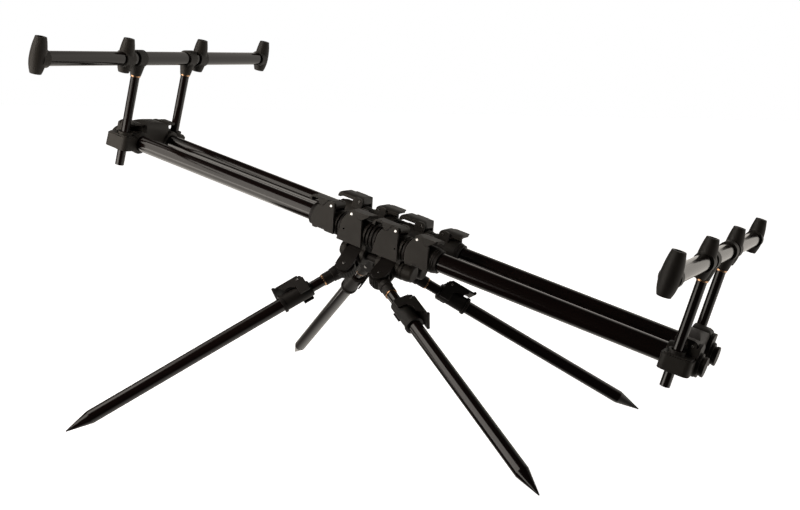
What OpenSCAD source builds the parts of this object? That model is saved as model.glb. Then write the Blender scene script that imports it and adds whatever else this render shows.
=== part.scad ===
// Rod pod for four rods: two telescopic beams, a clamp body, four folding legs and two buzz bars.
// The pieces are drawn along a level beam (X along the beam, Y across it, Z up) and then tilted
// as one, so that the four leg tips stand on z = 0.

/* [Beam] */
// Distance between the axes of the two beam tubes
tube_spacing = 62; // [60:1:70]
// Outside diameter of the right-hand (outer) beam tubes
right_tube_d = 23; // [21:0.5:24]
// Wall of every beam tube
tube_wall = 1; // [0.8:0.1:1.5]
// Distance from the middle of the beam to the left buzz bar
left_bar_x = 378; // [300:1:450]
// Distance from the middle of the beam to the right buzz bar
right_bar_x = 378; // [300:1:430]
// How far the left-hand tubes reach past the middle, inside the right-hand tubes
left_tube_in = 70; // [40:1:120]
// How far the right-hand tubes reach past the middle, inside the sleeves
right_tube_in = 34; // [20:1:36]

/* [Centre clamps] */
// Length of each clamp and leg block along the beam
clamp_len = 34; // [32:0.5:38]
// Gap between a leg block and the slide clamp beside it
clamp_gap = 6; // [5:0.5:9]
// Gap between the two leg blocks
centre_gap = 16; // [14:0.5:24]
// Wall of the body sleeves
sleeve_wall = 1.4; // [1:0.1:1.8]
// Wall of the clamp rings round the sleeves
ring_wall = 2.2; // [1.6:0.1:2.6]
// Thickness of the outer cheek plates
plate_t = 3.5; // [2.5:0.1:4.5]
// Height of the cheek plates above the tube axis
clamp_top = 25; // [24:0.5:27]
// Depth of the slide clamp plates below the tube axis
clamp_bottom = 12; // [10:0.5:14]
// Depth of the leg block plates below the tube axis
block_bottom = 15; // [14:0.5:17]
// Radius of the big arc of the cheek plates
plate_arc_r = 26; // [25:0.5:30]
// Slant of the right-hand edge of the plates, mm across for each mm up
edge_slope = 0.235; // [0:0.005:0.25]
// Height of the lever pins above the tube axis
lever_pin_h = 19.8; // [19.6:0.1:20.5]
// Distance of a lever pin from the end of its clamp
lever_pin_inset = 11.5; // [11:0.25:13]
// Diameter of the lever pins
lever_pin_d = 3; // [2.4:0.1:3.6]
// Thickness of the lever hoods
lever_t = 3.4; // [2.6:0.1:4]
// How far a straight lever lip stands out past its clamp
lever_lip = 1.5; // [1:0.25:3]

/* [Leg knuckles] */
// Distance between the two leg axles
axle_spacing = 28; // [26:0.5:34]
// Depth of the leg axles below the tube axes
axle_drop = 31; // [30:0.5:38]
// Diameter of the leg axles
axle_d = 10; // [8:0.5:11]
// Diameter of the swivel barrels
barrel_d = 17; // [15:0.5:18]
// Length of the swivel barrels
barrel_len = 20; // [18:0.5:21]
// Distance of the left knuckles from the middle
left_knuckle_x = 29; // [27:0.5:31]
// Distance of the right knuckles from the middle
right_knuckle_x = 20; // [18:0.5:24]
// Thickness of the axle lugs
lug_t = 5; // [4:0.5:5.5]
// Diameter of the axle lugs
lug_d = 23; // [20:0.5:24]
// Length of the end caps on the axles
axle_cap_len = 18; // [15:0.5:22]
// Distance from an axle to its leg's fold pin
yoke_reach = 25; // [24.5:0.5:30]
// Thickness of each yoke cheek
cheek_t = 4; // [3:0.5:5]
// Diameter of the yoke cheeks' round ends
cheek_d = 20; // [18:0.5:21]
// Thickness of the toothed leg heads
head_t = 11.4; // [10:0.2:13]
// Diameter of the leg heads over their teeth
head_d = 25; // [23:0.5:25.5]
// Number of teeth round a full leg head
head_teeth = 24; // [18:1:30]
// Diameter of the fold pins
fold_pin_d = 3.6; // [3:0.2:5]

/* [Legs] */
// Swing of the left legs out from straight down, about the axle
left_swivel = 41.8; // [30:0.1:60]
// Swing of the right legs out from straight down, about the axle
right_swivel = 57.1; // [40:0.1:70]
// Fold of the left legs away from square to the beam
left_fold = 29.4; // [20:0.1:45]
// Fold of the right legs away from square to the beam
right_fold = 59; // [45:0.1:65]
// Length of the left legs from fold pin to tip
left_leg_len = 377; // [340:1:420]
// Length of the right legs from fold pin to tip
right_leg_len = 349; // [335:1:400]
// Diameter of the upper leg tubes
upper_leg_d = 13; // [11:0.2:13.4]
// Diameter of the lower leg tubes
lower_leg_d = 16.4; // [16:0.2:18]
// Wall of the leg tubes
leg_wall = 1.2; // [0.8:0.1:1.4]
// Length of a leg head from its pin to the gold ring
head_len = 30.4; // [28:0.2:36]
// Distance from the fold pin to the lower end of an upper leg tube
upper_leg_end = 250; // [220:1:270]
// Distance from the fold pin to the top of the leg collar
collar_start = 49; // [46:0.5:60]
// Length of the leg collars
collar_len = 40; // [38:0.5:46]
// Length of the ground spikes
spike_len = 31; // [24:0.5:40]
// Radius of the spike tips
tip_r = 0.8; // [0.5:0.1:1.2]
// Distance of the leg lever pin from the leg axis
leg_pin_h = 12; // [12:0.1:13]

/* [Buzz bars] */
// Distance between neighbouring alarm sockets
socket_pitch = 150; // [125:1:170]
// Diameter of the bar tubes
bar_d = 17.6; // [16:0.2:18]
// Height of the bars above the beam tubes
bar_height = 112; // [95:1:125]
// Height of a socket above the bar axis
socket_up = 25.5; // [24:0.5:30]
// Depth of a socket below the bar axis
socket_down = 17.5; // [14:0.5:20]
// Largest diameter of the socket barrels
socket_mid_d = 20; // [19.4:0.2:22]
// Diameter of the socket barrels at their ends
socket_end_d = 13.5; // [12.5:0.1:15]
// Tapping diameter of the alarm threads
thread_d = 8.3; // [8:0.1:9]
// Depth of the alarm threads
thread_depth = 14; // [10:0.5:14.5]
// Distance between the two stems of a bar
stem_spacing = 102; // [98:1:110]
// Diameter of the stems
stem_d = 11.5; // [10:0.1:12]
// How far a stem reaches below the tube axes
stem_below = 30; // [24:0.5:40]
// Lean of the left bar to one side, within the play of its stems
left_bar_lean = 2.5; // [-3:0.1:3]
// Lean of the right bar to one side, within the play of its stems
right_bar_lean = -1.2; // [-3:0.1:3]

/* [End housings] */
// Length of the stem boxes along the beam
box_len = 35; // [30:0.5:40]
// Width of the stem boxes across the beam
box_w = 25; // [23:0.5:28]
// Height of the stem boxes
box_h = 17; // [14:0.5:18]
// Radius of the stem boxes' upright corners
box_round = 7; // [4:0.5:9]
// Outside radius of the rings round the beam tubes
end_ring_r = 14; // [13.2:0.1:14.4]
// Height of the bridge between the tubes above their axes
bridge_top = 26.5; // [25:0.5:29]
// Length of the end caps
end_cap_len = 8.5; // [7:0.5:14]

/* [Clearances] */
// Gap between pieces that are fixed together
fit_gap = 0.05; // [0.02:0.01:0.08]
// Gap round pins and shafts that turn
run_gap = 0.1; // [0.05:0.01:0.12]
// Gap round tubes and stems that slide
slide_gap = 0.3; // [0.2:0.05:0.35]
// Gap round the stems, which lets a bar lean
stem_play = 0.85; // [0.8:0.05:1]
// Gap beside faces that swing past each other
side_gap = 0.4; // [0.3:0.05:0.5]

/* [Hidden] */
$fn = 64;
MOULDED = [0.22, 0.20, 0.18];
GLOSS_BLACK = [0.08, 0.07, 0.07];
COPPER = [0.66, 0.42, 0.22];
STEEL = [0.85, 0.85, 0.84];
LEFT = -1;
RIGHT = 1;
FRONT = 0;
BACK = 1;
eps = 0.01;

// Beam tubes and sleeves
tube_y = tube_spacing / 2;
right_tube_r = right_tube_d / 2;
left_tube_r = right_tube_r - tube_wall - slide_gap;
sleeve_bore_r = right_tube_r + slide_gap;
sleeve_r = sleeve_bore_r + sleeve_wall;
ring_r = sleeve_r + fit_gap + ring_wall;
rib_r = ring_r - 0.6;
rib_t = 2.4;
block_x0 = centre_gap / 2;
block_x1 = block_x0 + clamp_len;
clamp_x0 = block_x1 + clamp_gap;
clamp_x1 = clamp_x0 + clamp_len;
sleeve_half = clamp_x1 + 6;
bush_len = 16;

// Cheek plates and centre levers, measured from the tube axis and from the pin end of the clamp
plate_in = ring_r - 0.9;
plate_out = plate_in + plate_t;
lever_pin_r = lever_pin_d / 2;
ear_in = 7.4;
ear_t = 3;
ear_r = 4.4;
ear_len = 5;
hood_top = clamp_top + 0.2;
hood_low = 17;
hood_y = -3;
hood_z = 3;
hood_r = hood_top - hood_z;
lip_r = 7;
far_reach = clamp_len - lever_pin_inset + lever_lip;
lip_gap = 4;
near_reach = far_reach + centre_gap - 2 * lever_lip - lip_gap;
cam_r = 5;
cam_offset = 0.6;
tab_x = 4.6;
tab_slant = 6.2;
tab_foot = 4;
tab_z = lever_pin_h - 3.1;
tab_proud = 0.5;
scallop_r = 7;
screw_r = 1.1;
screw_inset = 6.5;
screw_drop = 0.2;
lever_out = plate_in - side_gap;
lever_in = ear_in - side_gap;

// Leg axles, lugs and knuckles
axle_y = axle_spacing / 2;
axle_r = axle_d / 2;
barrel_r = barrel_d / 2;
lug_r = lug_d / 2;
flange_r = 9;
flange_t = 2.7;
head_r = head_d / 2;
tooth_r = 1.3;
fork_half = head_t / 2 + side_gap;
fork_out = fork_half + cheek_t;
cheek_r = cheek_d / 2;
fold_pin_r = fold_pin_d / 2;
fold_pin_half = fork_out + 0.4;
left_lug_x = left_knuckle_x + barrel_len / 2 + side_gap;
right_lug_x = right_knuckle_x + barrel_len / 2 + side_gap;
axle_x0 = -(left_lug_x + lug_t + side_gap + flange_t);
axle_cap_x0 = right_lug_x + lug_t + side_gap;
axle_x1 = axle_cap_x0 + axle_cap_len - 4;

// Legs, measured from the fold pin along the leg
neck_r = 7.6;
neck_start = cheek_r + 3.2;
leg_ring_r = 7.2;
leg_ring_t = 1.6;
upper_leg_r = upper_leg_d / 2;
lower_leg_r = lower_leg_d / 2;
seat_s = collar_start + 12;
collar_r = lower_leg_r + 1.6;
collar_end = collar_start + collar_len;
leg_pin_s = collar_start + 9;
leg_pin_r = 1.5;
leg_ear_r = 3;
leg_ear_half = 6;
leg_plate_in = collar_r + side_gap;
leg_plate_t = 2;
leg_plate_out = leg_plate_in + leg_plate_t;
spine_in = leg_pin_h + leg_ear_r + 0.5;
spine_t = 2;
spine_out = spine_in + spine_t;
spine_top = 0.8;
lip_s = collar_end + 1;

// Buzz bars, measured from the bar axis
bar_r = bar_d / 2;
socket_out = 1.5 * socket_pitch;
socket_in = 0.5 * socket_pitch;
socket_mid_r = socket_mid_d / 2;
socket_end_r = socket_end_d / 2;
bar_collar_r = bar_r + 2.2;
bar_collar_half = 8;
tee_half = 7;
tee_down = 21.5;
tee_neck_r = 7;
stem_y = stem_spacing / 2;
stem_r = stem_d / 2;
stem_top = 11;
stem_ring_r = stem_r + 0.9;
stem_ring_t = 1.8;

// End housings, measured along the beam from the bar axis, outward positive
collar_x0 = -12;
collar_x1 = -7;
end_x1 = 21.5;
end_collar_r = end_ring_r + 0.7;
end_tube_x = end_x1 - 1;
end_cap_x0 = end_x1 + side_gap;
end_cap_x1 = end_cap_x0 + end_cap_len;
cap_end_r = end_ring_r - 3;
box_shift = 3.5;
box_top = 7;
box_rim = 2;
box_rim_h = 1.8;
stem_flange_r = stem_r + 3.6;
stem_flange_h = 3.6;
end_wall_t = 3.2;
end_pin_x = 12.5;
end_lip_x = -5;
end_lever_out = 10;
end_lever_in = 8;
end_ear_r = 4.5;
end_ear_t = 2.2;
bridge_r = 78;
bridge_x0 = -11;
bridge_x1 = 17;
bridge_round = 9;
bridge_half = tube_y - end_lever_in - side_gap;
bridge_bottom = 6;

// Tilt and place of the whole pod: the four tips stand on one level plane
function swivel(side) = side == LEFT ? left_swivel : right_swivel;
function fold(side) = side == LEFT ? left_fold : right_fold;
function leg_len(side) = side == LEFT ? left_leg_len : right_leg_len;
function knuckle_x(side) = side == LEFT ? left_knuckle_x : right_knuckle_x;
function bar_x(side) = side == LEFT ? left_bar_x : right_bar_x;
function bar_lean(side) = side == LEFT ? left_bar_lean : right_bar_lean;
function tip_x(side) = side * (knuckle_x(side) + leg_len(side) * sin(fold(side)));
function tip_z(side) = -axle_drop - (yoke_reach + leg_len(side) * cos(fold(side))) * cos(swivel(side));
tilt = atan2(tip_z(RIGHT) - tip_z(LEFT), tip_x(RIGHT) - tip_x(LEFT));
pod_z = tip_r + tip_x(LEFT) * sin(tilt) - tip_z(LEFT) * cos(tilt);
reach_left = (left_bar_x + end_cap_x1) * cos(tilt) + cap_end_r * sin(tilt);
rim_reach = socket_end_r * sqrt(pow(cos(tilt), 2) + pow(sin(tilt) * sin(right_bar_lean), 2));
rim_rise = (bar_height + socket_up) * cos(right_bar_lean) + socket_out * abs(sin(right_bar_lean));
reach_right = right_bar_x * cos(tilt) + rim_reach + rim_rise * sin(tilt);
pod_x = (reach_left - reach_right) / 2;

// Placing

module in_pod() {
    translate([pod_x, 0, pod_z]) rotate([0, tilt, 0]) children();
}

module in_row(back) {
    if (back == BACK) mirror([0, 1, 0]) children();
    else children();
}

module in_side(side) {
    if (side == LEFT) mirror([1, 0, 0]) children();
    else children();
}

module both_rows() {
    for (back = [FRONT, BACK]) in_row(back) children();
}

// The front tube axis is the X axis of its children
module on_tube() {
    translate([0, -tube_y, 0]) children();
}

module at_bar(side) {
    in_pod() in_side(side) translate([bar_x(side), 0, 0]) children();
}

// A bar leans about the beam's axis at the height of the tubes
module at_lean(side) {
    at_bar(side) rotate([bar_lean(side), 0, 0]) children();
}

// Slide clamps have the lever pin at their inner end, leg blocks at their outer end
module at_slide_clamp(side) {
    in_side(side) translate([clamp_x0, 0, 0]) on_tube() children();
}

module at_leg_block(side) {
    in_side(side) translate([block_x1, 0, 0]) mirror([1, 0, 0]) on_tube() children();
}

// A yoke's origin is on its axle, with the leg's way out along -Z
module at_yoke(side, back) {
    in_pod() in_row(back)
        translate([side * knuckle_x(side), -axle_y, -axle_drop])
            rotate([-swivel(side), 0, 0]) children();
}

// A leg's origin is at its fold pin, with the leg along -Z
module at_leg(side, back) {
    at_yoke(side, back) translate([0, 0, -yoke_reach]) rotate([0, -side * fold(side), 0]) children();
}

// Front legs carry the lever on the side away from the beam's middle, back legs on their upper side
module at_leg_lever(side, back) {
    at_leg(side, back) rotate([0, 0, back == BACK ? -90 : (side == LEFT ? 180 : 0)]) children();
}

// Building shapes

module x_cylinder(x0, x1, r) {
    translate([x0, 0, 0]) rotate([0, 90, 0]) cylinder(r = r, h = x1 - x0);
}

module y_cylinder(y0, y1, r) {
    translate([0, y0, 0]) rotate([-90, 0, 0]) cylinder(r = r, h = y1 - y0);
}

// A flat shape drawn in X and Z, as thick as y0 to y1
module xz_plate(y0, y1) {
    translate([0, y1, 0]) rotate([90, 0, 0]) linear_extrude(y1 - y0) children();
}

// A flat shape drawn in Y and Z, as thick as x0 to x1
module yz_plate(x0, x1) {
    translate([x0, 0, 0]) rotate([90, 0, 90]) linear_extrude(x1 - x0) children();
}

module rounded_rectangle(w, h, r) {
    square([w, h - 2 * r], center = true);
    square([w - 2 * r, h], center = true);
    for (sx = [-1, 1], sy = [-1, 1])
        translate([sx * (w / 2 - r), sy * (h / 2 - r)]) circle(r);
}

// Centre body

module sleeve() {
    difference() {
        union() {
            x_cylinder(-sleeve_half, sleeve_half, sleeve_r);
            for (x = [-2, 0, 2] * rib_t) x_cylinder(x - rib_t / 2, x + rib_t / 2, rib_r);
            for (side = [LEFT, RIGHT]) {
                translate([side * (block_x1 + clamp_gap / 2), 0, 0]) x_cylinder(-rib_t / 2, rib_t / 2, rib_r);
                in_side(side) {
                    x_cylinder(clamp_x1 + side_gap, clamp_x1 + rib_t, rib_r);
                    x_cylinder(clamp_x1, sleeve_half, (sleeve_r + rib_r) / 2);
                }
            }
        }
        x_cylinder(-sleeve_half - 1, sleeve_half + 1, sleeve_bore_r);
    }
}

module body_sleeves() {
    color(MOULDED) in_pod() both_rows() on_tube() sleeve();
}

// Guide bushes bring the sleeves down to the thinner left-hand tubes
module guide_bushes() {
    color(GLOSS_BLACK) in_pod() both_rows() on_tube() difference() {
        x_cylinder(-sleeve_half, -sleeve_half + bush_len, sleeve_bore_r - fit_gap);
        x_cylinder(-sleeve_half - 1, -sleeve_half + bush_len + 1, left_tube_r + slide_gap);
    }
}

// Slanted edge of a tab on the side of the pin, from the pin
function tab_edge(z) = tab_x + tab_slant * (hood_top - z) / (hood_top - tab_z);

// Tab of a lever in X and Z, from the pin; widened by gap it is the notch of the cheek
module tab_outline(reach, curled, gap) {
    shift = side_gap - 1.3 * gap;
    polygon([[tab_edge(hood_top + 2 * gap) + shift, hood_top + 2 * gap],
        [tab_edge(tab_z - gap) + shift, tab_z - gap],
        [tab_x + tab_slant + tab_foot + gap, tab_z - gap],
        if (curled) [tab_x + 2 * tab_slant + tab_foot + gap, hood_top]
        else [reach - 1, hood_top - lever_t / 2],
        if (curled) [tab_x + 2 * tab_slant + tab_foot + gap, hood_top + 2 * gap]
        else [reach - 1, hood_top + 2 * gap]]);
}

// Outline of a cheek plate in X and Z, with a big arc at one end and a notch for the lever tab
module cheek_outline(bottom, scalloped, arc_at_pin) {
    difference() {
        translate([0, -bottom]) square([clamp_len, clamp_top + bottom]);
        translate([arc_at_pin ? 0 : clamp_len, 0]) mirror([arc_at_pin ? 0 : 1, 0]) difference() {
            translate([-1, -bottom - 1]) square([plate_arc_r + 1, clamp_top + bottom + 2]);
            translate([plate_arc_r + side_gap, 2]) circle(plate_arc_r, $fn = 128);
            if (!scalloped) translate([-2, -bottom - 2]) square([plate_arc_r + 2, bottom]);
        }
        translate([arc_at_pin ? clamp_len : 0, -bottom]) mirror([arc_at_pin ? 0 : 1, 0])
            polygon([[0, 0], [1, 0], [1, clamp_top + bottom + 1],
                [-edge_slope * (clamp_top + bottom + 1), clamp_top + bottom + 1]]);
        translate([lever_pin_inset, 0]) {
            tab_outline(arc_at_pin ? far_reach : near_reach, !arc_at_pin, side_gap);
            translate([tab_x + tab_slant + tab_foot, tab_z - side_gap]) square([clamp_len, clamp_top]);
        }
        if (scalloped) translate([0.54 * clamp_len, -bottom - scallop_r / 2]) circle(scallop_r);
        else translate([screw_inset, -screw_drop]) circle(screw_r, $fn = 24);
    }
}

// One clamp round a sleeve: ring, outer cheek and inner pin ear
module clamp_shell(bottom, scalloped, arc_at_pin) {
    pin = lever_pin_inset;
    difference() {
        union() {
            x_cylinder(0, clamp_len, ring_r);
            xz_plate(-plate_out, -plate_in) cheek_outline(bottom, scalloped, arc_at_pin);
            translate([6.5, -plate_in - 1, -0.65 * bottom])
                cube([clamp_len - 13, plate_in - sleeve_r + 6, 1.3 * bottom]);
            xz_plate(ear_in, ear_in + ear_t) translate([pin, 0]) {
                for (x = [0, ear_len]) translate([x, lever_pin_h]) circle(ear_r);
                translate([-ear_r, 5]) square([2 * ear_r + ear_len, lever_pin_h - 5]);
                translate([0, 5]) square([ear_len, lever_pin_h + ear_r - 5]);
            }
        }
        x_cylinder(-1, clamp_len + 1, sleeve_r + fit_gap);
        translate([pin, 0, lever_pin_h]) y_cylinder(-plate_out - 1, ear_in + ear_t + 1, lever_pin_r + fit_gap);
        translate([pin - cam_r - 1, -plate_in + eps, sleeve_r - 1])
            cube([2 * cam_r + 3, plate_in + ear_in + side_gap - eps, clamp_top]);
    }
}

module slide_clamps() {
    color(MOULDED) in_pod() for (side = [LEFT, RIGHT], back = [FRONT, BACK]) in_row(back)
        at_slide_clamp(side) clamp_shell(clamp_bottom, true, side == RIGHT);
}

// A lug with its web up to the cross body
module axle_lug(x0, x1) {
    translate([0, -axle_y, -axle_drop]) x_cylinder(x0, x1, lug_r);
    translate([x0, -axle_y - lug_r + 3, -axle_drop]) cube([x1 - x0, 2 * lug_r - 6, axle_drop - block_bottom + 3]);
}

// A leg block joins both rows by a cross body and carries the axles in four lugs
module leg_block(side) {
    outer = side == LEFT ? left_lug_x : right_lug_x;
    inner = outer - barrel_len - 2 * side_gap;
    cross_half = tube_y - sleeve_r - 2;
    color(MOULDED) in_pod() difference() {
        union() {
            for (back = [FRONT, BACK]) in_row(back)
                at_leg_block(side) clamp_shell(block_bottom, false, side == LEFT);
            in_side(side) translate([block_x0, -tube_y, -block_bottom])
                cube([clamp_len, 2 * tube_y, block_bottom - 2]);
            in_side(side) {
                translate([inner - lug_t, -cross_half, -block_bottom])
                    cube([outer - inner + 2 * lug_t, 2 * cross_half, block_bottom - 3]);
                both_rows() {
                    axle_lug(inner - lug_t, inner);
                    axle_lug(outer, outer + lug_t);
                }
            }
        }
        both_rows() {
            on_tube() x_cylinder(-clamp_x1, clamp_x1, sleeve_r + fit_gap);
            in_side(side) translate([0, -axle_y, -axle_drop])
                x_cylinder(inner - lug_t - 1, outer + lug_t + 1, axle_r + fit_gap);
        }
        in_side(side) both_rows() on_tube() {
            x_cylinder(0, block_x0, rib_r + side_gap);
            x_cylinder(block_x1, clamp_x0, rib_r + side_gap);
        }
    }
}

module left_leg_block() { leg_block(LEFT); }
module right_leg_block() { leg_block(RIGHT); }

module lever_pin() {
    translate([lever_pin_inset, 0, lever_pin_h]) y_cylinder(-plate_out - 0.3, ear_in + ear_t + 0.3, lever_pin_r);
}

module lever_pins() {
    color(STEEL) in_pod() for (side = [LEFT, RIGHT]) both_rows() {
        at_slide_clamp(side) lever_pin();
        at_leg_block(side) lever_pin();
    }
}

module leg_axles() {
    color(STEEL) in_pod() both_rows() translate([0, -axle_y, -axle_drop]) {
        x_cylinder(axle_x0 + eps, axle_x1, axle_r);
        x_cylinder(axle_x0, axle_x0 + flange_t, flange_r);
    }
}

// Stepped, slightly drawn-in cap on the right-hand end of each axle
module axle_caps() {
    color(MOULDED) in_pod() both_rows() translate([axle_cap_x0, -axle_y, -axle_drop]) rotate([0, 90, 0])
        difference() {
            rotate_extrude() {
                square([lug_r - 0.6, 2]);
                translate([0, 2]) square([lug_r, 2]);
                translate([0, 4]) square([lug_r - 1, axle_cap_len - 6.5]);
                translate([0, axle_cap_len - 2.5]) square([lug_r - 3.5, 2.5]);
                translate([lug_r - 3.5, axle_cap_len - 2.5]) intersection() {
                    circle(2.5);
                    square(3);
                }
            }
            translate([0, 0, -1]) cylinder(r = axle_r + fit_gap, h = axle_cap_len - 3 + fit_gap);
        }
}

// Centre levers

// Side shape of a lever in X and Z, from its pin: a cam, a straight hood and, on the long ones, a curled lip
module lever_side(reach, curled) {
    height = hood_top - hood_low;
    translate([0, lever_pin_h]) circle(cam_r);
    translate([cam_offset, lever_pin_h]) circle(cam_r);
    translate([0, hood_low]) square([curled ? reach - lip_r : reach, height]);
    if (curled) {
        translate([0, hood_low]) square([reach, height - lip_r]);
        intersection() {
            translate([reach - lip_r, hood_top - lip_r]) circle(lip_r);
            translate([reach - lip_r, hood_low]) square([lip_r, height]);
        }
    }
}

// Section of a hood in Y and Z: flat towards the cheek, round the tube on the inner side
module hood_section(out, inn, r) {
    intersection() {
        union() {
            translate([hood_y, hood_z]) circle(r, $fn = 96);
            translate([-out, hood_z]) square([out + hood_y, r]);
        }
        translate([-out, 0]) square([out + inn, hood_top + 1]);
    }
}

module lever_body(out, inn, reach, curled) {
    difference() {
        intersection() {
            xz_plate(-out, inn) lever_side(reach, curled);
            yz_plate(-cam_r - 1, reach + 1) hood_section(out, inn, hood_r);
        }
        yz_plate(cam_r + 1.5, curled ? reach - lever_t : reach + 1) hood_section(out + 1, inn + 1, hood_r - lever_t);
        translate([0, 0, lever_pin_h]) y_cylinder(-out - 1, inn + 1, lever_pin_r + run_gap);
    }
}

// Centre lever with the side tab that fills the notch of the cheek
module clamp_lever(arc_at_pin) {
    reach = arc_at_pin ? far_reach : near_reach;
    translate([lever_pin_inset, 0, 0]) {
        lever_body(lever_out, lever_in, reach, !arc_at_pin);
        xz_plate(-plate_out - tab_proud, -lever_out + 1) tab_outline(reach, !arc_at_pin, 0);
    }
}

module slide_lever(side, back) {
    color(MOULDED) in_pod() in_row(back) at_slide_clamp(side) clamp_lever(side == RIGHT);
}

module block_lever(side, back) {
    color(MOULDED) in_pod() in_row(back) at_leg_block(side) clamp_lever(side == LEFT);
}

module front_left_slide_lever() { slide_lever(LEFT, FRONT); }
module back_left_slide_lever() { slide_lever(LEFT, BACK); }
module front_right_slide_lever() { slide_lever(RIGHT, FRONT); }
module back_right_slide_lever() { slide_lever(RIGHT, BACK); }
module front_left_block_lever() { block_lever(LEFT, FRONT); }
module back_left_block_lever() { block_lever(LEFT, BACK); }
module front_right_block_lever() { block_lever(RIGHT, FRONT); }
module back_right_block_lever() { block_lever(RIGHT, BACK); }

// Beam extensions

module beam_tubes(x0, x1, r) {
    color(GLOSS_BLACK) in_pod() both_rows() on_tube() difference() {
        x_cylinder(x0, x1, r);
        x_cylinder(x0 - 1, x1 + 1, r - tube_wall);
    }
}

module left_beam_tubes() { beam_tubes(-left_bar_x - end_tube_x, left_tube_in, left_tube_r); }
module right_beam_tubes() { beam_tubes(-right_tube_in, right_bar_x + end_tube_x, right_tube_r); }

// Rounded box with a stepped top, a stem collar and a bottom boss, bored later for the stem
module stem_box() {
    translate([0, -stem_y, box_top - box_h]) {
        translate([box_shift, 0, 0]) linear_extrude(box_h) rounded_rectangle(box_len, box_w, box_round);
        translate([box_shift, 0, box_h - eps]) linear_extrude(box_rim_h)
            rounded_rectangle(box_len - 2 * box_rim, box_w - 2 * box_rim, box_round - box_rim);
        translate([0, 0, box_h]) cylinder(r = stem_flange_r, h = box_rim_h + stem_flange_h);
        translate([0, 0, -1.6]) cylinder(r = stem_flange_r - 1, h = 2);
    }
}

// Bridge between the tubes: a low dome across the beam with rounded ends
module bridge() {
    length = bridge_x1 - bridge_x0;
    height = bridge_top + bridge_bottom;
    intersection() {
        yz_plate(bridge_x0, bridge_x1) intersection() {
            translate([0, bridge_top - bridge_r]) circle(bridge_r, $fn = 180);
            translate([-bridge_half, -bridge_bottom]) square([2 * bridge_half, height]);
        }
        xz_plate(-bridge_half - 1, bridge_half + 1) translate([bridge_x0 + length / 2, bridge_top - height / 2])
            rounded_rectangle(length, height, bridge_round);
    }
}

// End wall and outer ear that hold the pin of an end lever, seen from the tube axis
module end_ears() {
    yz_plate(end_x1 - end_wall_t, end_x1) intersection() {
        translate([-end_lever_out - end_ear_t, 0]) square([end_lever_out + end_ear_t + end_ring_r, clamp_top - 2]);
        translate([-1.5, 3]) circle(clamp_top - 5);
    }
    xz_plate(-end_lever_out - end_ear_t, -end_lever_out - side_gap) {
        translate([end_pin_x, lever_pin_h - 1]) circle(end_ear_r);
        translate([end_pin_x - end_ear_r, 5]) square([end_x1 - end_pin_x + end_ear_r, lever_pin_h - 6]);
    }
}

module end_housing(side) {
    tube_r = side == LEFT ? left_tube_r : right_tube_r;
    color(MOULDED) at_bar(side) {
        difference() {
            union() {
                both_rows() {
                    on_tube() {
                        x_cylinder(collar_x0, collar_x1, end_collar_r);
                        x_cylinder(collar_x0 - 1.5, end_x1, end_ring_r);
                        end_ears();
                    }
                    stem_box();
                }
                bridge();
            }
            both_rows() {
                on_tube() {
                    x_cylinder(collar_x0 - 3, end_x1 + 1, tube_r + fit_gap);
                    translate([end_pin_x, 0, lever_pin_h])
                        y_cylinder(-end_lever_out - 5, end_lever_in + 6, lever_pin_r + fit_gap);
                    translate([end_lip_x, -end_lever_out - side_gap + eps, tube_r + 1.4])
                        cube([end_x1 - end_wall_t - end_lip_x,
                            end_lever_out + end_lever_in + 2 * side_gap - 2 * eps, clamp_top]);
                }
                translate([0, -stem_y, box_top - box_h - 3]) cylinder(r = stem_r + stem_play, h = box_h + 12);
            }
        }
        both_rows() on_tube() translate([end_pin_x, 0, lever_pin_h])
            y_cylinder(-end_lever_out - end_ear_t - 0.2, end_lever_in + 5, lever_pin_r);
    }
}

module left_end_housing() { end_housing(LEFT); }
module right_end_housing() { end_housing(RIGHT); }

// Stepped caps that plug the open tube ends
module end_caps(side) {
    tube_r = side == LEFT ? left_tube_r : right_tube_r;
    step = end_cap_len / 3;
    color(MOULDED) at_bar(side) both_rows() on_tube() {
        x_cylinder(end_tube_x - 12, end_cap_x0 + 1, tube_r - tube_wall - fit_gap);
        x_cylinder(end_cap_x0, end_cap_x0 + step, end_ring_r - 0.6);
        x_cylinder(end_cap_x0 + step - eps, end_cap_x0 + 2 * step, end_ring_r - 3.6);
        x_cylinder(end_cap_x0 + 2 * step - eps, end_cap_x1, cap_end_r);
    }
}

module left_end_caps() { end_caps(LEFT); }
module right_end_caps() { end_caps(RIGHT); }

module end_lever(side, back) {
    color(MOULDED) at_bar(side) in_row(back) on_tube()
        translate([end_pin_x, 0, 0]) mirror([1, 0, 0])
            lever_body(end_lever_out, end_lever_in, end_pin_x - end_lip_x, false);
}

module front_left_end_lever() { end_lever(LEFT, FRONT); }
module back_left_end_lever() { end_lever(LEFT, BACK); }
module front_right_end_lever() { end_lever(RIGHT, FRONT); }
module back_right_end_lever() { end_lever(RIGHT, BACK); }

// Buzz bars

module at_bar_axis(side) {
    at_lean(side) translate([0, 0, bar_height]) children();
}

module bar_tube(side) {
    color(GLOSS_BLACK) at_bar_axis(side) difference() {
        y_cylinder(-socket_out, socket_out, bar_r);
        y_cylinder(-socket_out - 1, socket_out + 1, bar_r - 1.4);
    }
}

module left_bar_tube() { bar_tube(LEFT); }
module right_bar_tube() { bar_tube(RIGHT); }

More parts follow.
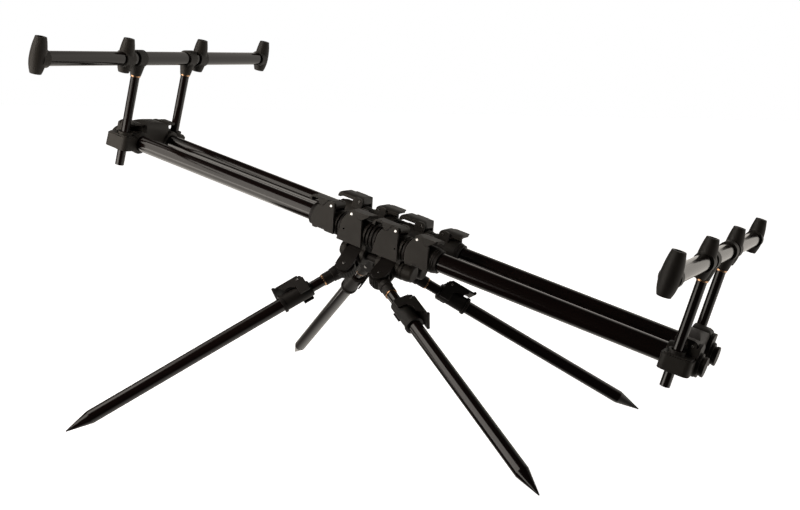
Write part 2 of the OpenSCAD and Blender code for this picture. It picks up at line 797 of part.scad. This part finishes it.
// Barrel with sides that swell in one arc, widest at the bar axis
module socket_barrel() {
    rise = socket_mid_r - socket_end_r;
    arc_up = (pow(socket_up, 2) + pow(rise, 2)) / (2 * rise);
    arc_down = (pow(socket_down, 2) + pow(rise, 2)) / (2 * rise);
    rotate_extrude() {
        intersection() {
            translate([socket_mid_r - arc_up, 0]) circle(arc_up, $fn = 180);
            square([socket_mid_r, socket_up]);
        }
        intersection() {
            translate([socket_mid_r - arc_down, 0]) circle(arc_down, $fn = 180);
            translate([0, -socket_down]) square([socket_mid_r, socket_down]);
        }
    }
}

// Alarm socket: end sockets close the bar, middle sockets slide over it on a collar
module alarm_socket(end_socket) {
    difference() {
        union() {
            socket_barrel();
            if (end_socket) y_cylinder(0, bar_collar_half + 3, bar_collar_r);
            else y_cylinder(-bar_collar_half, bar_collar_half, bar_collar_r);
        }
        y_cylinder(end_socket ? -fit_gap : -2 * bar_collar_r, 2 * bar_collar_r, bar_r + fit_gap);
        translate([0, 0, socket_up - thread_depth]) cylinder(r = thread_d / 2, h = thread_depth + 1);
    }
}

module alarm_sockets(side) {
    color(MOULDED) at_bar_axis(side) both_rows() {
        translate([0, -socket_out, 0]) alarm_socket(true);
        translate([0, -socket_in, 0]) alarm_socket(false);
    }
}

module left_alarm_sockets() { alarm_sockets(LEFT); }
module right_alarm_sockets() { alarm_sockets(RIGHT); }

module tee_collars(side) {
    color(MOULDED) at_bar_axis(side) both_rows() translate([0, -stem_y, 0]) difference() {
        union() {
            y_cylinder(-tee_half, tee_half, bar_collar_r);
            rotate_extrude() polygon([[0, 0], [bar_collar_r - 1.5, 0], [bar_collar_r - 1.5, -bar_r],
                [tee_neck_r, -tee_down], [0, -tee_down]]);
        }
        y_cylinder(-tee_half - 8, tee_half + 8, bar_r + fit_gap);
        translate([0, 0, -tee_down - 1]) cylinder(r = stem_r + fit_gap, h = tee_down + 1);
    }
}

module left_tee_collars() { tee_collars(LEFT); }
module right_tee_collars() { tee_collars(RIGHT); }

module stems(side) {
    color(GLOSS_BLACK) at_lean(side) both_rows() translate([0, -stem_y, -stem_below])
        cylinder(r = stem_r, h = stem_below + bar_height - stem_top);
}

module left_stems() { stems(LEFT); }
module right_stems() { stems(RIGHT); }

module stem_rings(side) {
    color(COPPER) at_bar_axis(side) both_rows()
        translate([0, -stem_y, -tee_down - stem_ring_t - fit_gap]) difference() {
        cylinder(r = stem_ring_r, h = stem_ring_t);
        translate([0, 0, -1]) cylinder(r = stem_r + fit_gap, h = stem_ring_t + 2);
    }
}

module left_stem_rings() { stem_rings(LEFT); }
module right_stem_rings() { stem_rings(RIGHT); }

// Legs

// Swivel barrel with two cheeks and the fold pin
module yoke(side, back) {
    base = yoke_reach - head_r - side_gap;
    color(MOULDED) at_yoke(side, back) {
        difference() {
            union() {
                x_cylinder(-barrel_len / 2, barrel_len / 2, barrel_r);
                translate([-cheek_r, -fork_out, -base]) cube([2 * cheek_r, 2 * fork_out, base]);
                for (y = [[-fork_out, -fork_half], [fork_half, fork_out]]) xz_plate(y[0], y[1]) {
                    translate([0, -yoke_reach]) circle(cheek_r);
                    translate([-cheek_r, -yoke_reach]) square([2 * cheek_r, yoke_reach - barrel_r / 2]);
                }
            }
            x_cylinder(-barrel_len, barrel_len, axle_r + run_gap);
            difference() {
                translate([-barrel_len, -2 * fork_out, -barrel_r]) cube([2 * barrel_len, 4 * fork_out, 3 * barrel_r]);
                x_cylinder(-barrel_len, barrel_len, barrel_r);
                translate([-barrel_len, -fork_out, -2 * barrel_r])
                    cube([2 * barrel_len, 2 * fork_out, 2 * barrel_r - 3]);
            }
            translate([0, 0, -yoke_reach]) y_cylinder(-2 * fork_out, 2 * fork_out, fold_pin_r + fit_gap);
        }
        translate([0, 0, -yoke_reach]) y_cylinder(-fold_pin_half, fold_pin_half, fold_pin_r);
    }
}

// Toothed disc with a stepped neck that takes the upper leg tube
module leg_head(side, back) {
    color(MOULDED) at_leg(side, back) difference() {
        union() {
            xz_plate(-head_t / 2, head_t / 2) {
                circle(head_r - tooth_r);
                for (k = [0 : head_teeth - 1]) rotate((k + 0.5) * 360 / head_teeth)
                    translate([head_r - tooth_r, 0]) circle(tooth_r, $fn = 24);
                translate([0.6 - neck_r, -neck_start - 2]) square([2 * neck_r - 1.2, neck_start + 2]);
            }
            translate([0, 0, -head_len]) cylinder(r = neck_r, h = head_len - neck_start);
            translate([0, 0, -neck_start - 6]) cylinder(r = neck_r + 0.9, h = 6);
        }
        y_cylinder(-head_t, head_t, fold_pin_r + run_gap);
        translate([0, 0, -head_len - 1]) cylinder(r = upper_leg_r + fit_gap, h = head_len - neck_start - 2);
    }
}

// Upper leg tube with the thin copper ring under the head
module upper_leg(side, back) {
    top = neck_start + 3.2;
    at_leg(side, back) {
        color(GLOSS_BLACK) translate([0, 0, -upper_leg_end]) difference() {
            cylinder(r = upper_leg_r, h = upper_leg_end - top);
            translate([0, 0, -1]) cylinder(r = upper_leg_r - leg_wall, h = upper_leg_end - top + 2);
        }
        color(COPPER) translate([0, 0, -head_len - leg_ring_t - fit_gap]) difference() {
            cylinder(r = leg_ring_r, h = leg_ring_t);
            translate([0, 0, -1]) cylinder(r = upper_leg_r + fit_gap, h = leg_ring_t + 2);
        }
    }
}

// Collar on top of the lower tube, with the ear and pin of the leg lever
module leg_collar(side, back) {
    color(MOULDED) at_leg_lever(side, back) {
        difference() {
            union() {
                translate([0, 0, -collar_end]) cylinder(r = collar_r, h = collar_len);
                translate([0, 0, -collar_end]) cylinder(r = collar_r + 1.4, h = 3.5);
                translate([0, 0, -collar_start - 3]) cylinder(r = collar_r - 1, h = 3.6);
                xz_plate(-leg_ear_half, leg_ear_half) {
                    translate([leg_pin_h, -leg_pin_s]) circle(leg_ear_r);
                    translate([0, -leg_pin_s - leg_ear_r]) square([leg_pin_h, 2 * leg_ear_r]);
                }
            }
            translate([0, 0, -collar_end - 1]) cylinder(r = lower_leg_r + fit_gap, h = collar_end - seat_s + 1);
            translate([0, 0, -collar_end - 1]) cylinder(r = upper_leg_r + slide_gap, h = collar_len + 5);
            translate([leg_pin_h, 0, -leg_pin_s]) y_cylinder(-2 * collar_r, 2 * collar_r, leg_pin_r + fit_gap);
        }
        translate([leg_pin_h, 0, -leg_pin_s]) y_cylinder(-leg_plate_out - 0.3, leg_plate_out + 0.3, leg_pin_r);
    }
}

// Lower leg tube and its ground spike, in one piece
module lower_leg(side, back) {
    tip = leg_len(side);
    cone_top = tip - spike_len;
    color(GLOSS_BLACK) at_leg(side, back) {
        difference() {
            union() {
                translate([0, 0, -cone_top]) cylinder(r = lower_leg_r, h = cone_top - seat_s - fit_gap);
                translate([0, 0, -tip]) cylinder(r1 = tip_r, r2 = lower_leg_r, h = spike_len);
                translate([0, 0, -tip]) sphere(tip_r);
            }
            translate([0, 0, -cone_top + 4]) cylinder(r = lower_leg_r - leg_wall, h = cone_top);
        }
    }
}

// Side shape of a leg lever: x is the distance from the leg axis, y runs up the leg
module leg_lever_outline() {
    difference() {
        union() {
            translate([-8, -leg_pin_s - 6]) square([spine_in + 8, 13]);
            translate([4, -lip_s + 8]) square([spine_in - 4, lip_s - 8 - leg_pin_s]);
            translate([leg_pin_h, -leg_pin_s]) circle(spine_in - leg_pin_h + eps);
        }
        translate([-2, -leg_pin_s - 16]) circle(10);
        translate([4, -lip_s + 4]) circle(9);
        difference() {
            translate([leg_pin_h, -leg_pin_s]) square(20);
            translate([leg_pin_h, -leg_pin_s]) circle(spine_out - leg_pin_h);
            translate([leg_pin_h - 10, -leg_pin_s]) square([10, 8]);
        }
    }
}

// Channel-shaped cam lever with a flared finger lip
module leg_lever(side, back) {
    color(MOULDED) at_leg_lever(side, back) difference() {
        union() {
            for (y = [[-leg_plate_out, -leg_plate_in], [leg_plate_in, leg_plate_out]])
                xz_plate(y[0], y[1]) leg_lever_outline();
            xz_plate(-leg_plate_out, leg_plate_out) {
                translate([spine_in, -lip_s]) square([spine_t, lip_s - leg_pin_s + spine_top]);
                translate([spine_in + spine_t / 2, -leg_pin_s + spine_top]) circle(spine_t / 2);
                translate([spine_out, -lip_s + 1]) circle(spine_t);
            }
        }
        translate([leg_pin_h, 0, -leg_pin_s]) y_cylinder(-2 * collar_r, 2 * collar_r, leg_pin_r + run_gap);
    }
}

module front_left_yoke() { yoke(LEFT, FRONT); }
module front_left_leg_head() { leg_head(LEFT, FRONT); }
module front_left_upper_leg() { upper_leg(LEFT, FRONT); }
module front_left_leg_collar() { leg_collar(LEFT, FRONT); }
module front_left_lower_leg() { lower_leg(LEFT, FRONT); }
module front_left_leg_lever() { leg_lever(LEFT, FRONT); }
module back_left_yoke() { yoke(LEFT, BACK); }
module back_left_leg_head() { leg_head(LEFT, BACK); }
module back_left_upper_leg() { upper_leg(LEFT, BACK); }
module back_left_leg_collar() { leg_collar(LEFT, BACK); }
module back_left_lower_leg() { lower_leg(LEFT, BACK); }
module back_left_leg_lever() { leg_lever(LEFT, BACK); }
module front_right_yoke() { yoke(RIGHT, FRONT); }
module front_right_leg_head() { leg_head(RIGHT, FRONT); }
module front_right_upper_leg() { upper_leg(RIGHT, FRONT); }
module front_right_leg_collar() { leg_collar(RIGHT, FRONT); }
module front_right_lower_leg() { lower_leg(RIGHT, FRONT); }
module front_right_leg_lever() { leg_lever(RIGHT, FRONT); }
module back_right_yoke() { yoke(RIGHT, BACK); }
module back_right_leg_head() { leg_head(RIGHT, BACK); }
module back_right_upper_leg() { upper_leg(RIGHT, BACK); }
module back_right_leg_collar() { leg_collar(RIGHT, BACK); }
module back_right_lower_leg() { lower_leg(RIGHT, BACK); }
module back_right_leg_lever() { leg_lever(RIGHT, BACK); }

body_sleeves();
guide_bushes();
slide_clamps();
left_leg_block();
right_leg_block();
lever_pins();
leg_axles();
axle_caps();
front_left_slide_lever();
back_left_slide_lever();
front_right_slide_lever();
back_right_slide_lever();
front_left_block_lever();
back_left_block_lever();
front_right_block_lever();
back_right_block_lever();
left_beam_tubes();
left_end_housing();
left_end_caps();
front_left_end_lever();
back_left_end_lever();
right_beam_tubes();
right_end_housing();
right_end_caps();
front_right_end_lever();
back_right_end_lever();
left_bar_tube();
left_alarm_sockets();
left_tee_collars();
left_stems();
left_stem_rings();
right_bar_tube();
right_alarm_sockets();
right_tee_collars();
right_stems();
right_stem_rings();
front_left_yoke();
front_left_leg_head();
front_left_upper_leg();
front_left_leg_collar();
front_left_lower_leg();
front_left_leg_lever();
back_left_yoke();
back_left_leg_head();
back_left_upper_leg();
back_left_leg_collar();
back_left_lower_leg();
back_left_leg_lever();
front_right_yoke();
front_right_leg_head();
front_right_upper_leg();
front_right_leg_collar();
front_right_lower_leg();
front_right_leg_lever();
back_right_yoke();
back_right_leg_head();
back_right_upper_leg();
back_right_leg_collar();
back_right_lower_leg();
back_right_leg_lever();
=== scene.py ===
import bpy
import numpy as np
from mathutils import Matrix, Vector


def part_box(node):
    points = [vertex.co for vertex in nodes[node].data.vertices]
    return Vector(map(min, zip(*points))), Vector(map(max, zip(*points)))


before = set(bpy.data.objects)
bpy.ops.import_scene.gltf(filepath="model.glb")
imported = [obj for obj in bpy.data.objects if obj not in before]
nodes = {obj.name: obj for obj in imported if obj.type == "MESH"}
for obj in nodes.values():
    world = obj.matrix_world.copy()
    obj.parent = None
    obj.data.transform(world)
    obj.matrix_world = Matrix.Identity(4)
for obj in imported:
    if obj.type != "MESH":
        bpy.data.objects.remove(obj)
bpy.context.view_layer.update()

SIDES = ("left", "right")
LEGS = ("front_left", "front_right", "back_left", "back_right")

# Camera fitted to the photograph: place in metres, axes as unit vectors, lens and sensor in millimetres
CAMERA_PLACE = (0.62125, -1.22108, 0.38195)
CAMERA_RIGHT = (0.893083, 0.449585, 0.016443)
CAMERA_DOWN = (0.073552, -0.109858, -0.99122)
CAMERA_FORWARD = (-0.443839, 0.886451, -0.131181)
CAMERA_LENS = 51.2308
CAMERA_SENSOR = 36
CAMERA_NEAR = 0.01

# Colours of the finishes, in linear light
MOULDED_DARK = (0.0215, 0.0185, 0.0158, 1)
MOULDED_LIGHT = (0.0350, 0.0308, 0.0268, 1)
# Painted highlight colour for the rims of the moulded housings
MOULDED_PAINTED_HIGHLIGHT = (0.100, 0.093, 0.085, 1)
LEG_DARK = (0.0105, 0.0085, 0.0075, 1)
LEG_LIGHT = (0.0185, 0.0155, 0.0138, 1)
# Painted highlight colour for the rims of the leg mouldings
LEG_PAINTED_HIGHLIGHT = (0.070, 0.063, 0.057, 1)
TUBE_DARK = (0.0060, 0.0024, 0.0020, 1)
TUBE_LIGHT = (0.0095, 0.0046, 0.0040, 1)
# Painted highlight colour for the rims of the tubes
TUBE_PAINTED_HIGHLIGHT = (0.12, 0.115, 0.11, 1)
COPPER_DARK = (0.52, 0.29, 0.16, 1)
COPPER_LIGHT = (0.70, 0.43, 0.25, 1)
# Near-black painted shade for the sunk screw heads
SCREW_SHADE_DARK = (0.0015, 0.0010, 0.0009, 1)
SCREW_SHADE_LIGHT = (0.0030, 0.0022, 0.0020, 1)
STEEL_DARK = (0.50, 0.49, 0.48, 1)
STEEL_LIGHT = (0.70, 0.69, 0.67, 1)

# Moulded plastic: noise scales of its cloudiness, grain and of the patches of the painted highlight on
# its rims, bump and rim sizes in metres
CLOUD_SCALE = 26.0
GRAIN_SCALE = 1900.0
RIM_HIGHLIGHT_PATCH_SCALE = 210.0
GRAIN_DEPTH = 0.00012
GRAIN_BUMP = 0.22
GRAIN_ROUGH = (0.46, 0.62)
MOULDED_SHINE = 0.28
MOULDED_RIM = 0.0006

# Drawn tube: hairlines are noise stretched along the tube
HAIRLINE_SCALE = 5.0
HAIRLINE_STRETCH = (1.0, 0.004, 0.004)
HAIRLINE_DEPTH = 0.00004
HAIRLINE_BUMP = 0.012
HAIRLINE_ROUGH = (0.10, 0.17)
TUBE_CLOUD_SCALE = 14.0
TUBE_SHINE = 0.55
TUBE_RIM = 0.00035
# How much of the tube rims' colour is painted highlight
TUBE_PAINTED_HIGHLIGHT_SHARE = 0.55

# Turned metal: fine lathe marks under a faint tarnish
LATHE_SCALE = 900.0
LATHE_DEPTH = 0.00005
LATHE_BUMP = 0.06
LATHE_ROUGH_SPAN = 0.14
TARNISH_SCALE = 120.0
METAL_RIM = 0.00025
COPPER_ROUGH = 0.20
STEEL_ROUGH = 0.18

# Depth of the screw heads under the cheek plates, and how near to it a face has to lie, in metres
SCREW_DROP = 0.0002
SCREW_NEAR = 0.00005
FACING = 0.999

# Light of the room, by how far the direction looked in leans to the backdrop
ROOM_DIM = 0.025
BACKDROP_BRIGHT = 0.85
BACKDROP_EDGE = 0.0
BACKDROP_FULL = 0.7
BACKDROP_LEAN = (0.35, 1, -0.5)
WARM_WHITE = (1.0, 0.94, 0.86)
FLOOR_GLOW = 0.97
FLOOR_HALF = 40

# Soft boxes: place and target in metres, size in metres, power in watts
KEY_BOX = ((-1.0, -1.7, 0.9), (-0.5, 0, 0.25), (0.8, 0.8), 4.2)
KEY_SPREAD = 1.05
REFLECTED = {
    "left_box": ((-1.8, -1.95, 1.55), (0, -0.1, 1.55), (2.0, 4.4), 62),
    "left_panel": ((-1.45, -0.80, 0.02), (-1.45, -0.80, 1.0), (2.1, 2.0), 26),
    "top_panel": ((-1.9, -0.5, 2.2), (-1.9, -0.5, 0), (1.8, 1.6), 10),
}


def add_camera():
    data = bpy.data.cameras.new("camera")
    data.sensor_fit = "HORIZONTAL"
    data.sensor_width = CAMERA_SENSOR
    data.lens = CAMERA_LENS
    data.clip_start = CAMERA_NEAR
    camera = bpy.data.objects.new("camera", data)
    right = Vector(CAMERA_RIGHT)
    up = -Vector(CAMERA_DOWN)
    back = -Vector(CAMERA_FORWARD)
    turn = Matrix((right, up, back)).transposed().to_4x4()
    camera.matrix_world = Matrix.Translation(CAMERA_PLACE) @ turn
    bpy.context.scene.collection.objects.link(camera)
    bpy.context.scene.camera = camera


# Shader building blocks
class Shader:
    def __init__(self, name):
        self.material = bpy.data.materials.new(name)
        self.material.use_nodes = True
        self.tree = self.material.node_tree
        self.surface = self.tree.nodes["Principled BSDF"]
        place = self.tree.nodes.new("ShaderNodeTexCoord")
        self.place = place.outputs["Object"]

    def link(self, source, node, socket):
        self.tree.links.new(source, node.inputs[socket])

    def set(self, socket, value):
        self.surface.inputs[socket].default_value = value

    def feed(self, socket, source):
        self.link(source, self.surface, socket)

    def mapped(self, turn, scale):
        node = self.tree.nodes.new("ShaderNodeMapping")
        node.vector_type = "TEXTURE"
        node.inputs["Rotation"].default_value = turn
        node.inputs["Scale"].default_value = scale
        self.link(self.place, node, "Vector")
        return node.outputs["Vector"]

    def noise(self, scale, detail=2.0, vector=None):
        node = self.tree.nodes.new("ShaderNodeTexNoise")
        node.inputs["Scale"].default_value = scale
        node.inputs["Detail"].default_value = detail
        self.link(vector or self.place, node, "Vector")
        return node.outputs["Fac"]

    def remap(self, value, low, high, to_low, to_high):
        node = self.tree.nodes.new("ShaderNodeMapRange")
        node.inputs["From Min"].default_value = low
        node.inputs["From Max"].default_value = high
        node.inputs["To Min"].default_value = to_low
        node.inputs["To Max"].default_value = to_high
        self.link(value, node, "Value")
        return node.outputs["Result"]

    # Mixes two colours by a factor
    def mix(self, factor, first, second):
        node = self.tree.nodes.new("ShaderNodeMix")
        node.data_type = "RGBA"
        self.link(factor, node, "Factor")
        for socket, colour in ((node.inputs[6], first), (node.inputs[7], second)):
            if isinstance(colour, tuple):
                socket.default_value = colour
            else:
                self.tree.links.new(colour, socket)
        return node.outputs[2]

    def multiply(self, first, second):
        node = self.tree.nodes.new("ShaderNodeMath")
        node.operation = "MULTIPLY"
        self.link(first, node, 0)
        if isinstance(second, float):
            node.inputs[1].default_value = second
        else:
            self.link(second, node, 1)
        return node.outputs["Value"]

    def soft_normal(self, radius):
        node = self.tree.nodes.new("ShaderNodeBevel")
        node.samples = 4
        node.inputs["Radius"].default_value = radius
        return node.outputs["Normal"]

    # One where the rounded normal leaves the face's own normal, so along the rims
    def edge(self, rounded):
        geometry = self.tree.nodes.new("ShaderNodeNewGeometry")
        node = self.tree.nodes.new("ShaderNodeVectorMath")
        node.operation = "DOT_PRODUCT"
        self.link(rounded, node, 0)
        self.link(geometry.outputs["Normal"], node, 1)
        return self.remap(node.outputs["Value"], 0.97, 0.80, 0.0, 1.0)

    def bump(self, height, strength, distance, normal):
        node = self.tree.nodes.new("ShaderNodeBump")
        node.inputs["Strength"].default_value = strength
        node.inputs["Distance"].default_value = distance
        self.link(height, node, "Height")
        self.link(normal, node, "Normal")
        self.feed("Normal", node.outputs["Normal"])


# Moulded housings: fine matt grain, faint cloudiness, rims painted a little lighter as a patchy painted
# highlight
def moulded(name, dark, light, painted_highlight):
    shader = Shader(name)
    cloud = shader.noise(CLOUD_SCALE, 3.0)
    grain = shader.noise(GRAIN_SCALE)
    colour = shader.mix(shader.remap(cloud, 0.32, 0.68, 0.0, 1.0), dark, light)
    rounded = shader.soft_normal(MOULDED_RIM)
    highlight_patches = shader.noise(RIM_HIGHLIGHT_PATCH_SCALE, 3.0)
    # Painted highlight: lighter colour along the rims, broken into patches by noise
    painted_rim_highlight = shader.multiply(shader.edge(rounded), shader.remap(highlight_patches, 0.30, 0.65, 0.25, 0.9))
    shader.feed("Base Color", shader.mix(painted_rim_highlight, colour, painted_highlight))
    shader.feed("Roughness", shader.remap(grain, 0.3, 0.7, *GRAIN_ROUGH))
    shader.set("Specular IOR Level", MOULDED_SHINE)
    shader.bump(grain, GRAIN_BUMP, GRAIN_DEPTH, rounded)
    return shader.material


# Drawn tube, anodised gloss black: hairlines run along the tube, and its rims carry a painted highlight
def drawn_tube(name, axis):
    shader = Shader("anodised_" + name)
    turn = Vector((1, 0, 0)).rotation_difference(axis).to_euler()
    along = shader.mapped(turn, HAIRLINE_STRETCH)
    hairline = shader.noise(HAIRLINE_SCALE, 3.0, along)
    cloud = shader.noise(TUBE_CLOUD_SCALE)
    colour = shader.mix(shader.remap(cloud, 0.3, 0.7, 0.0, 1.0), TUBE_DARK, TUBE_LIGHT)
    rounded = shader.soft_normal(TUBE_RIM)
    # Painted highlight: the tube's rims are coloured lighter
    painted_rim_highlight = shader.multiply(shader.edge(rounded), TUBE_PAINTED_HIGHLIGHT_SHARE)
    shader.feed("Base Color", shader.mix(painted_rim_highlight, colour, TUBE_PAINTED_HIGHLIGHT))
    shader.feed("Roughness", shader.remap(hairline, 0.3, 0.7, *HAIRLINE_ROUGH))
    shader.set("Specular IOR Level", TUBE_SHINE)
    shader.bump(hairline, HAIRLINE_BUMP, HAIRLINE_DEPTH, rounded)
    return shader.material


# Turned metal: copper rings and steel pins with fine lathe marks
def turned_metal(name, dark, light, rough):
    shader = Shader(name)
    marks = shader.noise(LATHE_SCALE)
    tarnish = shader.noise(TARNISH_SCALE, 3.0)
    colour = shader.mix(shader.remap(tarnish, 0.3, 0.7, 0.0, 1.0), dark, light)
    shader.feed("Base Color", colour)
    shader.set("Metallic", 1.0)
    shader.feed("Roughness", shader.remap(marks, 0.3, 0.7, rough, rough + LATHE_ROUGH_SPAN))
    shader.bump(marks, LATHE_BUMP, LATHE_DEPTH, shader.soft_normal(METAL_RIM))
    return shader.material


# Corner points of some faces of a mesh
def corners(mesh, faces):
    return np.array([mesh.vertices[i].co for f in faces for i in mesh.polygons[f].vertices])


# Groups of faces of a mesh that hang together, the largest first
def islands(mesh):
    parent = {}

    def root(key):
        while parent[key] != key:
            parent[key] = parent[parent[key]]
            key = parent[key]
        return key

    keys = [tuple(round(c * 1e6) for c in vertex.co) for vertex in mesh.vertices]
    for key in keys:
        parent[key] = key
    for face in mesh.polygons:
        first = root(keys[face.vertices[0]])
        for index in face.vertices[1:]:
            parent[root(keys[index])] = first
    groups = {}
    for face in mesh.polygons:
        groups.setdefault(root(keys[face.vertices[0]]), []).append(face.index)

    def extent(faces):
        points = corners(mesh, faces)
        return float(np.linalg.norm(points.max(0) - points.min(0)))

    return sorted(groups.values(), key=extent, reverse=True)


# Longest direction of a mesh, or of some of its faces
def long_axis(mesh, faces=None):
    points = corners(mesh, faces or range(len(mesh.polygons)))
    spread = np.cov((points - points.mean(0)).T)
    return Vector(np.linalg.eigh(spread)[1][:, 2])


def dress(name, material):
    slots = nodes[name].data.materials
    slots.clear()
    slots.append(material)
    for face in nodes[name].data.polygons:
        face.material_index = 0


# Adds a second material to a node and gives it to some of the node's faces
def dress_faces(name, material, faces):
    mesh = nodes[name].data
    mesh.materials.append(material)
    index = len(mesh.materials) - 1
    for face in faces:
        mesh.polygons[face].material_index = index


# The sunk screw heads of a leg block lie just under its outer faces, and are coloured near black as
# painted shade of their holes
def dress_screws(name, material):
    low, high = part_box(name)
    heads = []
    for face in nodes[name].data.polygons:
        depth = min(face.center.y - low[1], high[1] - face.center.y)
        if abs(face.normal.y) > FACING and abs(depth - SCREW_DROP) < SCREW_NEAR:
            heads.append(face.index)
    dress_faces(name, material, heads)


# The small solids of a node are its pins or its ring
def dress_small(name, material):
    small = islands(nodes[name].data)[1:]
    dress_faces(name, material, [face for group in small for face in group])


def dress_object():
    plastic = moulded("moulded_grain", MOULDED_DARK, MOULDED_LIGHT, MOULDED_PAINTED_HIGHLIGHT)
    leg_plastic = moulded("leg_moulding", LEG_DARK, LEG_LIGHT, LEG_PAINTED_HIGHLIGHT)
    # Painted shade: near-black colour for the sunk screw heads
    screw_painted_shade = moulded("screw_painted_shade", SCREW_SHADE_DARK, SCREW_SHADE_LIGHT, SCREW_SHADE_LIGHT)
    copper = turned_metal("copper_ring", COPPER_DARK, COPPER_LIGHT, COPPER_ROUGH)
    steel = turned_metal("turned_steel", STEEL_DARK, STEEL_LIGHT, STEEL_ROUGH)
    for name in nodes:
        dress(name, plastic)
    dress("lever_pins", steel)
    for name in ("body_sleeves", "leg_axles"):
        dress(name, leg_plastic)
    beam_mesh = nodes["left_beam_tubes"].data
    beam_finish = drawn_tube("beam", long_axis(beam_mesh, islands(beam_mesh)[0]))
    dress("guide_bushes", beam_finish)
    for side in SIDES:
        dress_screws(side + "_leg_block", screw_painted_shade)
        dress(side + "_beam_tubes", beam_finish)
        dress(side + "_bar_tube", drawn_tube(side + "_bar", long_axis(nodes[side + "_bar_tube"].data)))
        stem_mesh = nodes[side + "_stems"].data
        dress(side + "_stems", drawn_tube(side + "_stem", long_axis(stem_mesh, islands(stem_mesh)[0])))
        dress(side + "_stem_rings", copper)
        dress_small(side + "_end_housing", steel)
    for leg in LEGS:
        finish = drawn_tube(leg + "_leg", long_axis(nodes[leg + "_lower_leg"].data))
        for piece in ("upper_leg", "lower_leg"):
            dress(leg + "_" + piece, finish)
        for piece in ("yoke", "leg_head", "leg_collar", "leg_lever"):
            dress(leg + "_" + piece, leg_plastic)
        dress_small(leg + "_upper_leg", copper)
        for piece in ("yoke", "leg_collar"):
            dress_small(leg + "_" + piece, steel)


# A soft box, which the camera itself doesn't see
def area_light(name, place, target, size, power):
    data = bpy.data.lights.new(name, "AREA")
    data.shape = "RECTANGLE"
    data.size = size[0]
    data.size_y = size[1]
    data.energy = power
    data.color = WARM_WHITE
    light = bpy.data.objects.new(name, data)
    light.location = place
    light.visible_camera = False
    direction = Vector(target) - Vector(place)
    light.rotation_euler = direction.to_track_quat("-Z", "Y").to_euler()
    bpy.context.scene.collection.objects.link(light)
    return light


# The room is dim in front of the object and bright behind it, and white to the camera
def add_room():
    world = bpy.data.worlds.new("studio")
    world.use_nodes = True
    tree = world.node_tree
    background = tree.nodes["Background"]
    direction = tree.nodes.new("ShaderNodeTexCoord")
    depth = tree.nodes.new("ShaderNodeVectorMath")
    depth.operation = "DOT_PRODUCT"
    depth.inputs[1].default_value = BACKDROP_LEAN
    tree.links.new(direction.outputs["Generated"], depth.inputs[0])
    backdrop = tree.nodes.new("ShaderNodeMapRange")
    backdrop.interpolation_type = "SMOOTHSTEP"
    backdrop.inputs["From Min"].default_value = BACKDROP_EDGE
    backdrop.inputs["From Max"].default_value = BACKDROP_FULL
    backdrop.inputs["To Min"].default_value = ROOM_DIM
    backdrop.inputs["To Max"].default_value = BACKDROP_BRIGHT
    tree.links.new(depth.outputs["Value"], backdrop.inputs["Value"])
    seen = tree.nodes.new("ShaderNodeLightPath")
    strength = tree.nodes.new("ShaderNodeMix")
    strength.inputs["B"].default_value = 1.0
    tree.links.new(seen.outputs["Is Camera Ray"], strength.inputs["Factor"])
    tree.links.new(backdrop.outputs["Result"], strength.inputs["A"])
    tree.links.new(strength.outputs["Result"], background.inputs["Strength"])
    tint = tree.nodes.new("ShaderNodeMix")
    tint.data_type = "RGBA"
    tint.inputs[6].default_value = (*WARM_WHITE, 1)
    tint.inputs[7].default_value = (1, 1, 1, 1)
    tree.links.new(seen.outputs["Is Camera Ray"], tint.inputs["Factor"])
    tree.links.new(tint.outputs[2], background.inputs["Color"])
    bpy.context.scene.world = world


# A glowing white floor, which neither shines on the object nor shows in its gloss
def add_floor():
    mesh = bpy.data.meshes.new("floor")
    square = [(-1, -1), (1, -1), (1, 1), (-1, 1)]
    mesh.from_pydata([(x * FLOOR_HALF, y * FLOOR_HALF, 0) for x, y in square], [], [(0, 1, 2, 3)])
    floor = bpy.data.objects.new("floor", mesh)
    bpy.context.scene.collection.objects.link(floor)
    shader = Shader("floor_white")
    shader.set("Base Color", (0.9, 0.9, 0.9, 1))
    shader.set("Roughness", 0.9)
    shader.set("Emission Color", (1, 1, 1, 1))
    shader.set("Emission Strength", FLOOR_GLOW)
    mesh.materials.append(shader.material)
    floor.visible_glossy = False
    floor.visible_diffuse = False


# The key box lights the matt faces, and the other boxes show in the gloss
def add_studio():
    bpy.context.scene.view_settings.view_transform = "Standard"
    key = area_light("key_box", *KEY_BOX)
    key.data.spread = KEY_SPREAD
    key.visible_glossy = False
    for name, box in REFLECTED.items():
        area_light(name, *box).visible_diffuse = False
    add_room()
    add_floor()


add_camera()
dress_object()
add_studio()

bpy.context.view_layer.update()
